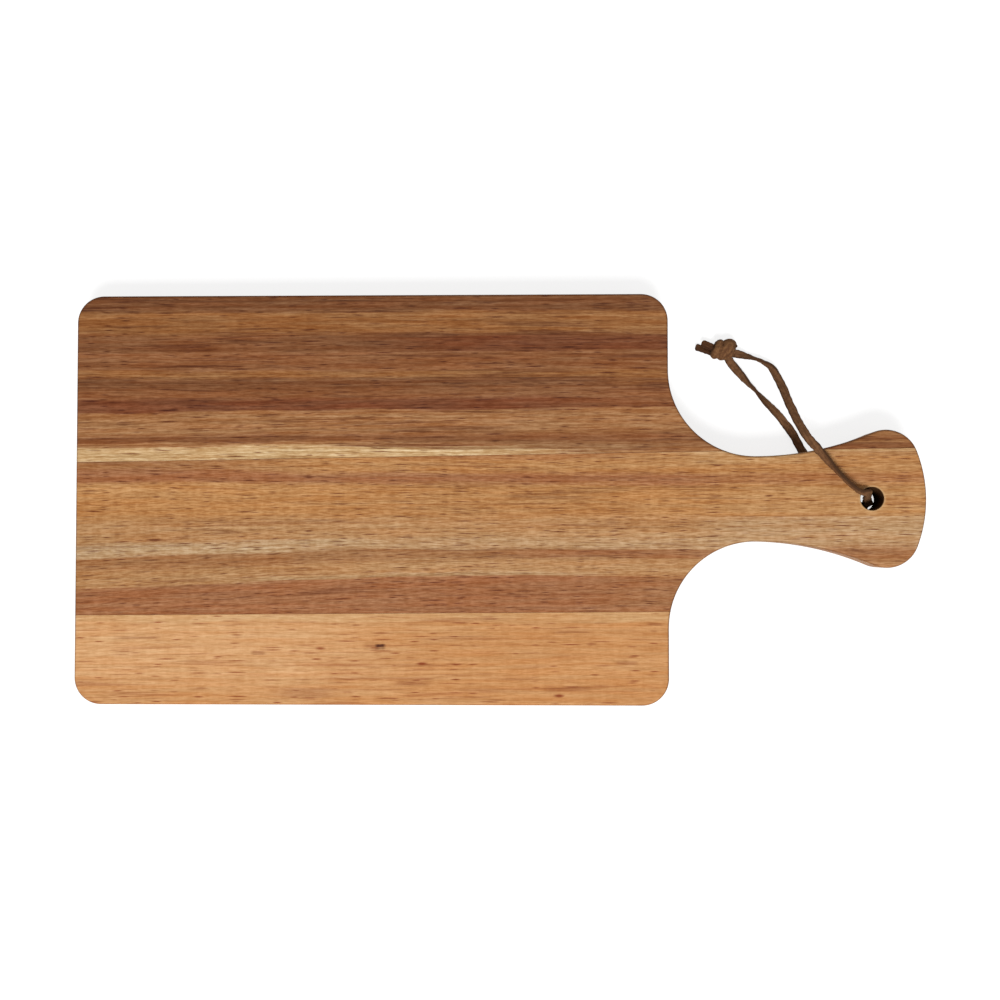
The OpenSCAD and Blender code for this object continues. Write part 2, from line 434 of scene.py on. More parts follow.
def suedeMaterial(name, tones):
    material, tree, shader = newMaterial(name)
    place = tree.nodes.new("ShaderNodeTexCoord").outputs
    nap = speckle(tree, place["Object"], *suedeFinish["nap"])
    fibres = speckle(tree, place["Object"], *suedeFinish["fibres"])
    # the UV runs across the lace from 0 to 1, and along it in lace widths
    brushed = grain(tree, place["UV"], *suedeFinish["brushed"], 3, 2.0)
    worn = sums(tree, "MULTIPLY", sums(tree, "ADD", nap, brushed), 0.5)
    patch = spread(tree, worn, 0.38, 0.62)
    colour = blendColours(tree, "MIX", patch, linear(*tones["plain"]), linear(*tones["light"]))
    fromMiddle = sums(tree, "ABSOLUTE", sums(tree, "SUBTRACT", partsOf(tree, place["UV"])[1], 0.5))
    edge = spread(tree, fromMiddle, *suedeFinish["edge"], 0.0, suedeFinish["edgeAmount"])
    colour = blendColours(tree, "MIX", edge, colour, linear(*tones["edge"]))
    fleck = spread(tree, fibres, 0.35, 0.65, *suedeFinish["flecks"])
    shade = gathered(tree, "ShaderNodeCombineColor", fleck, fleck, fleck)
    colour = blendColours(tree, "MULTIPLY", 1.0, colour, shade)
    dress(tree, shader, colour, suedeFinish["roughness"], suedeFinish["specular"])
    shader.inputs["Sheen Weight"].default_value = suedeFinish["sheen"]
    shader.inputs["Sheen Roughness"].default_value = suedeFinish["sheenRoughness"]
    shader.inputs["Sheen Tint"].default_value = linear(*suedeFinish["sheenTint"])
    bumped(tree, shader, fibres, suedeFinish["relief"], 0.8)
    return material


suede = suedeMaterial("brownSuede", suedeTones)
knotSuede = suedeMaterial("knotSuedeCreaseShade", knotTonesCreaseShade)
tailSuede = suedeMaterial("darkSuede", tailTones)
lastPoint = len(laceRoute) - 1
frontRun, frontPath = sweepLace("laceFrontRun", laceRoute, 0, lace["frontEnd"], faceWay)
bight, bightPath = sweepLace("laceBight", laceRoute, lace["frontEnd"], lace["backStart"], faceWay,
                             swell=lace["swell"])
backRun, backPath = sweepLace("laceBackRun", laceRoute, lace["backStart"], lastPoint, faceWay)
tails = []
for number, route in enumerate(tailRoutes):
    tail = sweepLace("laceTail" + str(number), route, 0, len(route) - 1, upWay, tip=lace["tipRound"])[0]
    tails.append(tail)
tails = joinPieces(tails, "laceTails")

# The knot: a core, turns of the lace drawn round it, and the two legs where they come out of it
knot = {
    "place": (-0.0499, 0.0543, 0.00375),
    "heading": -17,
    "flat": 0.86,  # how far the turns are pressed down
    "core": (0.0034, 0.0023, 0.002),
    # a turn's place along the knot and aside, lean, radius, start, sweep, width and curl of its edges
    "turns": [
        (-0.0021, -0.0005, 0.0004, 0.0032, 20, 360, 1.2, 0.0013),
        (0.0007, 0.0002, 0.0008, 0.0037, -30, 360, 1.75, 0.0018),
        (0.0025, 0, 0.0002, 0.0025, -60, 360, 0.9, 0.001),
        (-0.0006, 0, 0.0004, 0.0032, 118, 130, 0.7, 0.0007),
    ],
    "points": 16,
    "unsteady": 0.0002,  # how far a turn strays from its radius
    "twist": 14,  # and how far it tips, in degrees
    "legs": [
        [(-0.0492, 0.054, 0.0038, 180), laceRoute[0], laceRoute[1]],
        [(-0.0496, 0.0538, 0.0024, 180), laceRoute[-1], laceRoute[-2]],
    ],
}


def knotTurn(number, along, aside, lean, radius, start, sweep, width, cup):
    heading = math.radians(knot["heading"])
    axis = Vector((math.cos(heading), math.sin(heading), 0))
    side = Vector((-axis.y, axis.x, 0))
    up = Vector((0, 0, knot["flat"]))

    def outAt(at):
        angle = math.radians(start + sweep * at / knot["points"])
        return side * math.cos(angle) + up * math.sin(angle), math.cos(angle)

    route = []
    for i in range(knot["points"] + 1):
        out, sideways = outAt(i)
        reach = radius + knot["unsteady"] * noise.noise(Vector((i * 0.7, number * 5, 0)))
        point = Vector(knot["place"]) + axis * (along + lean * sideways) + side * aside + out * reach
        route.append((*point, knot["twist"] * noise.noise(Vector((i * 0.5, number * 3, 9)))))
    return sweepLace("knotTurn" + str(number), route, 0, knot["points"], lambda at: outAt(at)[0],
                     narrow=width, cup=cup)[0]


bpy.ops.object.select_all(action="DESELECT")
bpy.ops.mesh.primitive_uv_sphere_add(segments=32, ring_count=16, radius=1)
core = bpy.context.object
core.scale = knot["core"]
core.rotation_euler = (0, 0, math.radians(knot["heading"]))
core.location = Vector(knot["place"]) + Vector((holeX, 0, 0))
bpy.ops.object.transform_apply(location=True, rotation=True, scale=True)
core.data.uv_layers[0].name = "laceUv"
# painted shade: the core shows only in the gaps between the turns, and takes the dark edge tone
for corner in core.data.uv_layers[0].data:
    corner.uv = (0, 0)  # as dark as the lace's edges
knotPieces = [core]
for number, turn in enumerate(knot["turns"]):
    knotPieces.append(knotTurn(number, *turn))
for number, leg in enumerate(knot["legs"]):
    knotPieces.append(sweepLace("knotLeg" + str(number), leg, 0, 1, upWay)[0])
tiedKnot = joinPieces(knotPieces, "laceKnot")
for node, piece, leather in (
    ("thong_front_run", frontRun, suede),
    ("thong_bight", bight, suede),
    ("thong_back_run", backRun, suede),
    ("thong_tails", tails, tailSuede),
    ("thong_knot", tiedKnot, knotSuede),
):
    smoothed(piece, lace["smoothAngle"])
    piece.data.materials.append(leather)
    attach(piece, "hanging_loop")
    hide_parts(node)


def pathLength(path):
    return sum((b - a).length for a, b in zip(path, path[1:]))


laceLength = sum(pathLength(path) for path in (frontPath, bightPath, backPath))
print("lace laid:", round(1000 * laceLength), "mm")


# The planks: one blank is drawn, eased and drilled, and then taken apart at its seams

meshing = {
    "corner": 20,
    "shoulder": 32,
    "sweep": 20,
    "flare": 32,
    "tip": 10,
    "arris": 5,
    "hole": 72,
    "rim": 3,
    "smoothAngle": 40,
    "merge": 0.00001,  # points closer than this are one
}


def drawLine(toX, toY, pen):
    bpy.ops.mesh.extrude_region_move(TRANSFORM_OT_translate={"value": (toX - pen[0], toY - pen[1], 0)})
    return toX, toY


def drawArc(centreX, centreY, turn, steps, pen):
    # spin turns clockwise for a positive angle when there is no window
    bpy.ops.mesh.spin(steps=steps, angle=-turn, center=(centreX, centreY, 0), axis=(0, 0, 1))
    x, y = pen[0] - centreX, pen[1] - centreY
    c, s = math.cos(turn), math.sin(turn)
    return centreX + x * c - y * s, centreY + x * s + y * c


def selectEdges(piece, wanted):
    # in edit mode: picks the edges whose two ends both pass
    mesh = bmesh.from_edit_mesh(piece.data)
    bpy.ops.mesh.select_all(action="DESELECT")
    bpy.ops.mesh.select_mode(type="EDGE")
    for edge in mesh.edges:
        if all(wanted(vert.co) for vert in edge.verts):
            edge.select = True
    bmesh.update_edit_mesh(piece.data)


def boardBlank(size):
    farX, tipX = -size["length"] / 2, size["length"] / 2
    shoulderX = farX + size["bladeLength"]
    bladeH, waistH = size["bladeWidth"] / 2, size["waist"] / 2
    corner, shoulderR, flareR = size["cornerRadius"], size["shoulderRadius"], size["flareRadius"]
    tipC = tipX - size["tipRadius"]
    flareY = size["flare"] / 2 - flareR
    flareX = tipC + math.sqrt((size["tipRadius"] - flareR) ** 2 - flareY ** 2)
    tipTurn = math.atan2(flareY, flareX - tipC)
    waistX = shoulderX + shoulderR
    run, rise = flareX - waistX, waistH - flareY
    sweepR = (run ** 2 + rise ** 2 - flareR ** 2) / (2 * (flareR - rise))
    sweepY = waistH + sweepR
    sweepTurn = math.atan2(sweepY - flareY, run)
    bpy.ops.object.select_all(action="DESELECT")
    bpy.ops.mesh.primitive_plane_add(size=0.01, location=(0, 0, 0))
    blank = bpy.context.object
    blank.name = "boardBlank"
    bpy.ops.object.mode_set(mode="EDIT")
    bpy.ops.mesh.select_all(action="SELECT")
    bpy.ops.mesh.merge(type="CENTER")
    bpy.ops.transform.translate(value=(farX, 0, 0))
    pen = (farX, 0)
    pen = drawLine(farX, corner - bladeH, pen)
    pen = drawArc(farX + corner, corner - bladeH, math.pi / 2, meshing["corner"], pen)
    pen = drawLine(shoulderX - corner, -bladeH, pen)
    pen = drawArc(shoulderX - corner, corner - bladeH, math.pi / 2, meshing["corner"], pen)
    pen = drawLine(shoulderX, -waistH - shoulderR, pen)
    pen = drawArc(waistX, -waistH - shoulderR, -math.pi / 2, meshing["shoulder"], pen)
    pen = drawArc(waistX, -sweepY, sweepTurn - math.pi / 2, meshing["sweep"], pen)
    pen = drawArc(flareX, -flareY, math.pi - sweepTurn - tipTurn, meshing["flare"], pen)
    pen = drawArc(tipC, 0, tipTurn, meshing["tip"], pen)
    bpy.ops.object.mode_set(mode="OBJECT")
    mirror = blank.modifiers.new("otherHalf", "MIRROR")
    mirror.use_axis = (False, True, False)
    mirror.merge_threshold = 2 * meshing["merge"]
    bpy.ops.object.modifier_apply(modifier=mirror.name)
    bpy.ops.object.mode_set(mode="EDIT")
    bpy.ops.mesh.select_all(action="SELECT")
    bpy.ops.mesh.remove_doubles(threshold=meshing["merge"])
    bpy.ops.mesh.edge_face_add()
    bpy.ops.mesh.extrude_region_move(TRANSFORM_OT_translate={"value": (0, 0, size["thickness"])})
    bpy.ops.mesh.select_all(action="SELECT")
    bpy.ops.mesh.normals_make_consistent(inside=False)
    for level in (size["thickness"], 0):
        selectEdges(blank, lambda p: abs(p.z - level) < meshing["merge"])
        bpy.ops.mesh.bevel(offset=size["arris"], segments=meshing["arris"], profile=0.5, affect="EDGES")
    bpy.ops.object.mode_set(mode="OBJECT")
    return blank


def drillHole(blank, size):
    radius = size["holeDiameter"] / 2
    bpy.ops.object.select_all(action="DESELECT")
    bpy.ops.mesh.primitive_cylinder_add(vertices=meshing["hole"], radius=radius,
                                        depth=3 * size["thickness"], location=(holeX, 0, 0))
    drill = bpy.context.object
    selectOnly(blank)
    cut = blank.modifiers.new("hangingHole", "BOOLEAN")
    cut.operation = "DIFFERENCE"
    cut.object = drill
    cut.solver = "EXACT"
    bpy.ops.object.modifier_apply(modifier=cut.name)
    bpy.data.objects.remove(drill)
    bpy.ops.object.mode_set(mode="EDIT")

    def onRim(p):
        nearMouth = min(abs(p.z), abs(p.z - size["thickness"])) < meshing["merge"]
        return nearMouth and abs(math.hypot(p.x - holeX, p.y) - radius) < 5 * meshing["merge"]

    selectEdges(blank, onRim)
    bpy.ops.mesh.bevel(offset=size["holeEase"], segments=meshing["rim"], profile=0.5, affect="EDGES")
    bpy.ops.object.mode_set(mode="OBJECT")


def sawAt(piece, seam, side, offset):
    # keeps what lies on one side of a seam: side is 1 above it and -1 below it
    turn = math.radians(seam[1])
    across = Vector((-math.sin(turn), math.cos(turn), 0))
    selectOnly(piece)
    bpy.ops.object.mode_set(mode="EDIT")
    bpy.ops.mesh.select_all(action="SELECT")
    bpy.ops.mesh.bisect(plane_co=(0, seam[0] + offset, 0), plane_no=across * side,
                        use_fill=True, clear_inner=True, clear_outer=False)
    bpy.ops.object.mode_set(mode="OBJECT")


def copyOf(piece, name):
    twin = piece.copy()
    twin.data = piece.data.copy()
    twin.name = name
    bpy.context.scene.collection.objects.link(twin)
    return twin


def layOnTable(piece):
    # the lace beneath the handle lifts that end, about the blade's far edge
    rest = Vector((-boardSizes["length"] / 2 + boardSizes["arris"], 0, 0))
    turned = Matrix.Rotation(-boardTilt, 4, "Y")
    piece.rotation_euler = (0, -boardTilt, 0)
    piece.location = rest - turned @ rest
    selectOnly(piece)
    bpy.ops.object.transform_apply(location=True, rotation=True, scale=True)


def finishPlank(piece):
    smoothed(piece, meshing["smoothAngle"])
    modifier = piece.modifiers.new("flatFaces", "WEIGHTED_NORMAL")
    modifier.keep_sharp = True
    bpy.ops.object.modifier_apply(modifier=modifier.name)


blank = boardBlank(boardSizes)
drillHole(blank, boardSizes)
half = boardSizes["glue"] / 2
lower = copyOf(blank, "lowerStaveWood")
sawAt(lower, boardSizes["lowerSeam"], -1, -half)
middle = copyOf(blank, "middleStaveWood")
sawAt(middle, boardSizes["lowerSeam"], 1, half)
sawAt(middle, boardSizes["upperSeam"], -1, -half)
sawAt(blank, boardSizes["upperSeam"], 1, half)
bpy.ops.object.mode_set(mode="EDIT")
bpy.ops.mesh.select_all(action="SELECT")
bpy.ops.mesh.separate(type="LOOSE")  # the waist has cut the slip off
bpy.ops.object.mode_set(mode="OBJECT")
upper, slip = sorted(bpy.context.selected_objects, key=lambda piece: piece.data.vertices[0].co.x)
upper.name = "upperStaveWood"
slip.name = "handleSlipWood"
planks = {"upper_stave": upper, "middle_stave": middle, "lower_stave": lower, "handle_slip": slip}
for node, piece in planks.items():
    layOnTable(piece)
    finishPlank(piece)
    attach(piece, "board")
    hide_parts(node)
    print(piece.name, len(piece.data.polygons), "faces")


# Oiled wood: tones laid in bands across each plank, by their distance from the middle of the board in mm

woodTones = {
    "boreShadeTone": (46, 28, 18),
    "ember": (66, 10, 0),
    "umber": (120, 67, 38),
    "walnut": (124, 78, 46),
    "rust": (142, 80, 44),
    "russet": (139, 88, 52),
    "honey": (152, 101, 58),
    "chestnut": (160, 104, 66),
    "tan": (163, 113, 71),
    "wheat": (182, 134, 88),
    "amber": (187, 133, 81),
    "ash": (190, 154, 114),
    "straw": (205, 168, 120),
    "birch": (211, 159, 109),
    "pine": (197, 139, 86),
}
upperLook = {
    "bands": [
        (73, "walnut"), (67.2, "walnut"), (66, "honey"), (59.8, "honey"), (57.5, "walnut"), (53, "walnut"),
        (51.5, "russet"), (46, "russet"), (44.8, "honey"), (43.6, "honey"), (42.6, "walnut"),
        (40.8, "walnut"), (38.3, "russet"), (36.6, "russet"), (35.6, "umber"), (32.7, "umber"),
        (31.9, "tan"), (25, "tan"), (22.6, "russet"), (20.9, "russet"), (20.3, "tan"), (13, "tan"),
    ],
    # a patch fades in and out between four places along the board, and between four across it
    "patches": [
        ("umber", (-60, 0, 200, 210), (51.5, 53, 57, 59), 0.9),
        ("russet", (-220, -210, -100, -40), (51, 52.5, 58, 59.5), 0.6),
        ("honey", (30, 60, 200, 210), (39.8, 40.8, 43.5, 44.5), 0.7),
        ("russet", (0, 60, 200, 210), (32.6, 33, 37.5, 38.5), 0.8),
        ("straw", (-220, -210, -25, 70), (12, 12.4, 18.2, 19.2), 0.95),
        ("straw", (-100, -86, -68, -50), (17.6, 18.2, 18.9, 20), 0.9),
        ("walnut", (-75, -10, 200, 210), (17.2, 18.8, 21.5, 22.4), 0.45),
        ("tan", (-30, 30, 200, 210), (12, 12.4, 14.4, 15.4), 0.8),
    ],
    "bend": (0.0026, 0.027, 0.012),  # how far, round which line, and how wide
    "lean": 0.45,
    "streak": 0.2,
    "fine": 0.2,
    "ripple": 0.04,
    "lines": 0.6,
    # cell along and across, how far a dash reaches in it, how rare it is, and its depth
    "pores": [(0.013, 0.0009, 0.42, 0.15, 0.95), (0.006, 0.0008, 0.4, 0.25, 0.9)],
    "poreTone": (144, 88, 55),
    "shift": 0.0,
}
middleLook = {
    "bands": [
        (18, "wheat"), (15.4, "wheat"), (14, "tan"), (11, "tan"), (9.8, "chestnut"), (6.2, "chestnut"),
        (4.6, "amber"), (-4.5, "amber"), (-7, "wheat"), (-12.5, "wheat"), (-14, "ash"), (-16.6, "ash"),
        (-17.6, "tan"), (-20.4, "tan"), (-21.6, "wheat"), (-26.3, "wheat"), (-27.4, "chestnut"),
        (-41, "chestnut"),
    ],
    "patches": [
        ("amber", (-110, -60, 200, 210), (8, 10, 15.5, 16.5), 0.85),
        ("chestnut", (-45, -20, 30, 60), (13.4, 14.2, 16.6, 17.6), 0.5),
        ("straw", (60, 75, 105, 120), (12, 13, 17, 18), 0.35),
        ("straw", (112, 118, 142, 150), (16.6, 17, 18, 19), 0.5),
        ("straw", (70, 90, 200, 210), (-6, -4, 4, 6), 0.12),
        ("honey", (-70, -40, 30, 70), (-6, -4, 5.5, 7), 0.2),
        ("amber", (60, 90, 200, 210), (4.5, 6, 10.5, 12), 0.4),
        ("chestnut", (-10, 20, 80, 100), (-21, -20, -18, -17.3), 0.6),
        ("wheat", (-70, -40, 200, 210), (-17.6, -16.8, -13, -12), 0.45),
        ("ash", (60, 90, 200, 210), (-13.5, -12, -7, -5), 0.55),
        ("ash", (-110, -70, 10, 50), (-27.2, -26.5, -25.9, -25.2), 0.6),
        ("wheat", (46, 58, 200, 210), (-29, -27.5, -23, -22), 0.6),
        ("tan", (20, 60, 200, 210), (-43, -42, -28, -27), 0.4),
        ("chestnut", (98, 125, 200, 210), (-30, -29, -17.5, -14), 0.35),
    ],
    "bend": (0.0055, -0.035, 0.042),
    "lean": -0.35,
    "streak": 0.12,
    "fine": 0.21,
    "ripple": 0.06,
    "lines": 0.42,
    "pores": [(0.011, 0.0007, 0.42, 0.2, 1.0), (0.006, 0.0006, 0.4, 0.25, 1.0)],
    "poreTone": (144, 88, 55),
    "shift": 3.0,
}
lowerLook = {
    "bands": [(-41, "birch"), (-58, "birch"), (-73, "pine")],
    "patches": [
        ("pine", (-85, -5, 200, 210), (-80, -79, -30, -29), 0.9),
        ("straw", (-220, -210, 200, 210), (-43.5, -42.5, -39, -38), 0.35),
        ("chestnut", (-84, -70, -64, -54), (-70.5, -68.5, -66.5, -65), 0.5),
        ("rust", (-48, -46, -43, -41), (-52.5, -51.8, -51.4, -50.7), 0.5),
        ("ember", (-43.9, -42.3, -40.7, -39.1), (-52.45, -51.85, -51.35, -50.75), 1.0),
        ("chestnut", (-30, -18, -14, 4), (-49, -48.6, -48.3, -47.9), 0.5),
        ("rust", (-140, -130, -122, -118), (-48.8, -48.2, -47.8, -47.2), 0.5),
        ("rust", (-88, -86, -83.5, -81), (-54.4, -53.9, -53.3, -52.8), 0.6),
        ("rust", (-38, -33, -28, -22), (-66, -65, -64, -63), 0.5),
        ("rust", (-6, -3.5, -1.5, 1), (-43, -42.5, -42.1, -41.6), 0.6),
        ("rust", (14, 20, 28, 34), (-67.5, -66.8, -66, -65.3), 0.5),
        ("rust", (18, 22, 30, 34), (-47.6, -47.1, -46.7, -46.2), 0.6),
        ("rust", (40, 43, 47, 50), (-59, -58.4, -57.8, -57.2), 0.5),
        ("rust", (51, 54, 56, 59), (-44.7, -44.2, -43.8, -43.3), 0.6),
    ],
    "bend": (0.001, -0.055, 0.03),
    "lean": 0.25,
    "streak": 0.09,
    "fine": 0.11,
    "ripple": 0.04,
    "lines": 0.4,
    "pores": [
        (0.013, 0.0009, 0.4, 0.4, 0.9), (0.007, 0.0009, 0.38, 0.5, 1.0), (0.012, 0.0036, 0.24, 0.82, 1.0),
    ],
    "poreTone": (172, 102, 54),
    "shift": 7.0,
}
slipLook = dict(upperLook)
slipLook.update({
    "bands": [
        (25, "honey"), (22.8, "tan"), (21.5, "russet"), (20, "honey"), (18.8, "russet"), (17, "russet"),
    ],
    "patches": [],
    "shift": 11.0,
})


woodFinish = {
    # a layer's run, width, detail, roughness and shift, where it swings from, and what sets how far
    "grain": [
        (0.3, 0.0011, 3, 0.6, 2, 0.3, "streak"),
        (0.016, 0.0008, 3, 0.6, 3, 0.3, "streak"),
        (0.0035, 0.0004, 2, 0.6, 4, 0.35, "fine"),
        (0.0016, 0.004, 2, 0.5, 9, 0.3, "ripple"),
    ],
    "reddening": (0.72, 1.08, 1.57),  # darker fibres are redder: blue falls off most and red least
    "hue": (0.497, 0.503),
    "saturation": (1.04, 0.98),
    "bend": (0.05, 0.2),  # where the rings begin to bend, and over what run
    "waver": (0.14, 0.02, 0.0022),  # run, width and how far the rings stray
    "fray": (0.03, 0.0009, 0.0032),  # and how far fibres of one tone reach into the next
    "through": 0.3,  # how quickly the grain changes through the thickness
    "lines": (0.16, 0.003, 0.035),  # run, width and thinness of the dark lines
    "breaks": (0.03, 0.006),
    # painted shade on the eased edges: its tone, and how much
    "arrisShadeTone": (128, 112, 104),
    "arrisShadeAmount": 0.3,
    "endTone": (170, 145, 125),
    "endAmount": 0.6,
    # painted highlight: a pale ring round the hole's mouth
    "rim": (0.0004, 0.001, 0.5),  # from and to, outside the hole, and how much
    # painted shade on the hole's inner edge
    "boreEdgeShade": (0.00005, 0.0003, 0.9),
    "roughness": (0.68, 0.56),  # of dark fibres and of light ones
    "specular": 0.18,
    "relief": 0.00006,
}


def windowOf(tree, value, places):
    # 1 between the inner two places, 0 outside the outer two, all in mm
    rise = spread(tree, value, places[0] / 1000, places[1] / 1000)
    fall = spread(tree, value, places[2] / 1000, places[3] / 1000, 1.0, 0.0)
    return sums(tree, "MULTIPLY", rise, fall)


def bandRamp(tree, across, bands):
    low, high = bands[-1][0] / 1000, bands[0][0] / 1000
    along = tree.nodes.new("ShaderNodeMapRange")
    plug(tree, along.inputs[0], across)
    along.inputs[1].default_value = low
    along.inputs[2].default_value = high
    ramp = tree.nodes.new("ShaderNodeValToRGB")
    tree.links.new(along.outputs[0], ramp.inputs[0])
    stops = sorted(bands)
    while len(ramp.color_ramp.elements) < len(stops):
        ramp.color_ramp.elements.new(0.5)
    for element, (where, tone) in zip(ramp.color_ramp.elements, stops):
        element.position = (where / 1000 - low) / (high - low)
        element.color = linear(*woodTones[tone])
    return ramp.outputs[0]


def ringPlaces(tree, place, x, y, z, look):
    # rings: bent down towards the blade's end, leaning through the thickness and a little unsteady
    shift = look["shift"]
    slope = math.tan(boardTilt)
    top = sums(tree, "MULTIPLY_ADD", x, slope, lowZ + boardSizes["thickness"] - holeX * slope)
    depth = sums(tree, "SUBTRACT", top, z)
    drop, bendLine, bendWidth = look["bend"]
    bendFrom, bendRun = woodFinish["bend"]
    bend = sums(tree, "DIVIDE", sums(tree, "SUBTRACT", bendFrom, x), bendRun)
    bend = sums(tree, "MAXIMUM", bend, 0.0)
    bend = sums(tree, "MULTIPLY", sums(tree, "MULTIPLY", bend, bend), drop)
    fromLine = sums(tree, "ABSOLUTE", sums(tree, "SUBTRACT", y, bendLine))
    bend = sums(tree, "MULTIPLY", bend, spread(tree, fromLine, 0.0, bendWidth, 1.0, 0.0))
    across = sums(tree, "ADD", y, bend)
    across = sums(tree, "MULTIPLY_ADD", depth, look["lean"], across)
    run, width, reach = woodFinish["waver"]
    slow = sums(tree, "SUBTRACT", grain(tree, place, run, width, 2, shift), 0.5)
    across = sums(tree, "MULTIPLY_ADD", slow, reach, across)
    run, width, reach = woodFinish["fray"]
    fray = sums(tree, "SUBTRACT", grain(tree, place, run, width, 3, shift + 1), 0.5)
    frayed = sums(tree, "MULTIPLY_ADD", fray, reach, across)
    inward = sums(tree, "MULTIPLY", depth, woodFinish["through"])
    return frayed, gathered(tree, "ShaderNodeCombineXYZ", x, across, inward)


def bandColour(tree, x, frayed, look):
    colour = bandRamp(tree, frayed, look["bands"])
    for tone, alongBoard, acrossBoard, amount in look["patches"]:
        mask = sums(tree, "MULTIPLY", windowOf(tree, x, alongBoard), windowOf(tree, frayed, acrossBoard))
        mask = sums(tree, "MULTIPLY", mask, amount)
        colour = blendColours(tree, "MIX", mask, colour, linear(*woodTones[tone]))
    return colour


def grainValue(tree, rings, look):
    # growth streaks, fine grain and a faint ripple lighten and darken
    value = 1.0
    for run, width, detail, roughness, number, low, strength in woodFinish["grain"]:
        layer = grain(tree, rings, run, width, detail, look["shift"] + number, roughness)
        swing = look[strength]
        value = sums(tree, "MULTIPLY", spread(tree, layer, low, 1 - low, 1 - swing, 1 + swing), value)
    return value


def grainedColour(tree, rings, value, colour, look):
    shades = [sums(tree, "POWER", value, power) for power in woodFinish["reddening"]]
    shade = gathered(tree, "ShaderNodeCombineColor", *shades)
    colour = blendColours(tree, "MULTIPLY", 1.0, colour, shade)
    tint = tree.nodes.new("ShaderNodeHueSaturation")
    redder = grain(tree, rings, 0.03, 0.0016, 3, look["shift"] + 8)
    plug(tree, tint.inputs["Hue"], spread(tree, redder, 0.3, 0.7, *woodFinish["hue"]))
    plug(tree, tint.inputs["Saturation"], spread(tree, redder, 0.3, 0.7, *woodFinish["saturation"]))
    plug(tree, tint.inputs["Color"], colour)
    return tint.outputs[0]


def poredColour(tree, rings, colour, look):
    # broken lines and open pores only darken
    run, width, thin = woodFinish["lines"]
    layer = grain(tree, rings, run, width, 2, look["shift"] + 6)
    ridge = sums(tree, "ABSOLUTE", sums(tree, "SUBTRACT", layer, 0.5))
    lines = spread(tree, ridge, 0.0, thin, look["lines"], 0.0)
    layer = grain(tree, rings, *woodFinish["breaks"], 1, look["shift"] + 7)
    dark = sums(tree, "MULTIPLY", lines, spread(tree, layer, 0.4, 0.62))
    for number, (run, width, reach, rare, poreDepth) in enumerate(look["pores"]):
        dashes = openPores(tree, rings, run, width, reach, rare, look["shift"] + 5 + number / 10)
        dark = sums(tree, "MAXIMUM", dark, sums(tree, "MULTIPLY", dashes, poreDepth))
    return blendColours(tree, "MULTIPLY", dark, colour, linear(*look["poreTone"]))


def paintedEdgeLightAndEndGrain(tree, x, y, colour):
    # painted shade: a thin dark line on the eased edges, where they round away from the light; and end
    # grain that takes more oil
    facing = partsOf(tree, tree.nodes.new("ShaderNodeNewGeometry").outputs["Normal"])
    flat = sums(tree, "ABSOLUTE", facing[2])
    arris = sums(tree, "MULTIPLY", spread(tree, flat, 0.05, 0.3), spread(tree, flat, 0.7, 0.97, 1.0, 0.0))
    fromHole = tree.nodes.new("ShaderNodeVectorMath")
    fromHole.operation = "LENGTH"
    fromMid = gathered(tree, "ShaderNodeCombineXYZ", sums(tree, "SUBTRACT", x, holeMid.x), y)
    tree.links.new(fromMid, fromHole.inputs[0])
    fromHole = fromHole.outputs["Value"]
    holeR = boardSizes["holeDiameter"] / 2
    # painted shade on the eased edges, faded out near the hole
    awayFromHole = spread(tree, fromHole, holeR + 0.001, holeR + 0.002, 0.0, woodFinish["arrisShadeAmount"])
    arris = sums(tree, "MULTIPLY", arris, awayFromHole)
    colour = blendColours(tree, "MULTIPLY", arris, colour, linear(*woodFinish["arrisShadeTone"]))
    endGrain = spread(tree, sums(tree, "ABSOLUTE", facing[0]), 0.4, 0.9, 0.0, woodFinish["endAmount"])
    colour = blendColours(tree, "MULTIPLY", endGrain, colour, linear(*woodFinish["endTone"]))
    # painted highlight: a pale ring round the hole's rim; and painted shade on the hole's inner edge
    for part, tone in (("rim", "straw"), ("boreEdgeShade", "boreShadeTone")):
        inner, outer, amount = woodFinish[part]
        mask = spread(tree, fromHole, holeR + inner, holeR + outer, amount, 0.0)
        colour = blendColours(tree, "MIX", mask, colour, linear(*woodTones[tone]))
    return colour


def woodMaterial(name, look):
    material, tree, shader = newMaterial(name)
    place = tree.nodes.new("ShaderNodeTexCoord").outputs["Object"]
    x, y, z = partsOf(tree, place)
    frayed, rings = ringPlaces(tree, place, x, y, z, look)
    value = grainValue(tree, rings, look)
    colour = bandColour(tree, x, frayed, look)
    colour = grainedColour(tree, rings, value, colour, look)
    colour = poredColour(tree, rings, colour, look)
    colour = paintedEdgeLightAndEndGrain(tree, x, y, colour)
    rough = spread(tree, value, 0.6, 1.2, *woodFinish["roughness"])
    dress(tree, shader, colour, rough, woodFinish["specular"])
    bumped(tree, shader, value, woodFinish["relief"])
    return material


# painted shade: the bore is given dark tones for the shade deep inside the hole
bore = {
    "tones": ((68, 43, 27), (86, 58, 36)),
    "patches": (0.006, 0.0006, 4.0),  # run, width and shift
    "evenness": 0.35,
    "roughness": 0.9,
    "specular": 0.0,
    "relief": 0.00004,
    "margin": 0.0001,  # how far outside the drill's radius still counts as the bore
}


def patchyMaterial(name, finish):
    material, tree, shader = newMaterial(name)
    place = tree.nodes.new("ShaderNodeTexCoord").outputs["Object"]
    run, width, shift = finish["patches"]
    layer = grain(tree, place, run, width, 2, shift)
    patch = spread(tree, layer, finish["evenness"], 1 - finish["evenness"])
    dark, light = finish["tones"]
    colour = blendColours(tree, "MIX", patch, linear(*dark), linear(*light))
    dress(tree, shader, colour, finish["roughness"], finish["specular"])
    bumped(tree, shader, patch, finish["relief"])
    return material


def inBore(face):
    centre = face.center
    radius = math.hypot(centre.x - holeMid.x, centre.y)
    return radius < boardSizes["holeDiameter"] / 2 + bore["margin"]


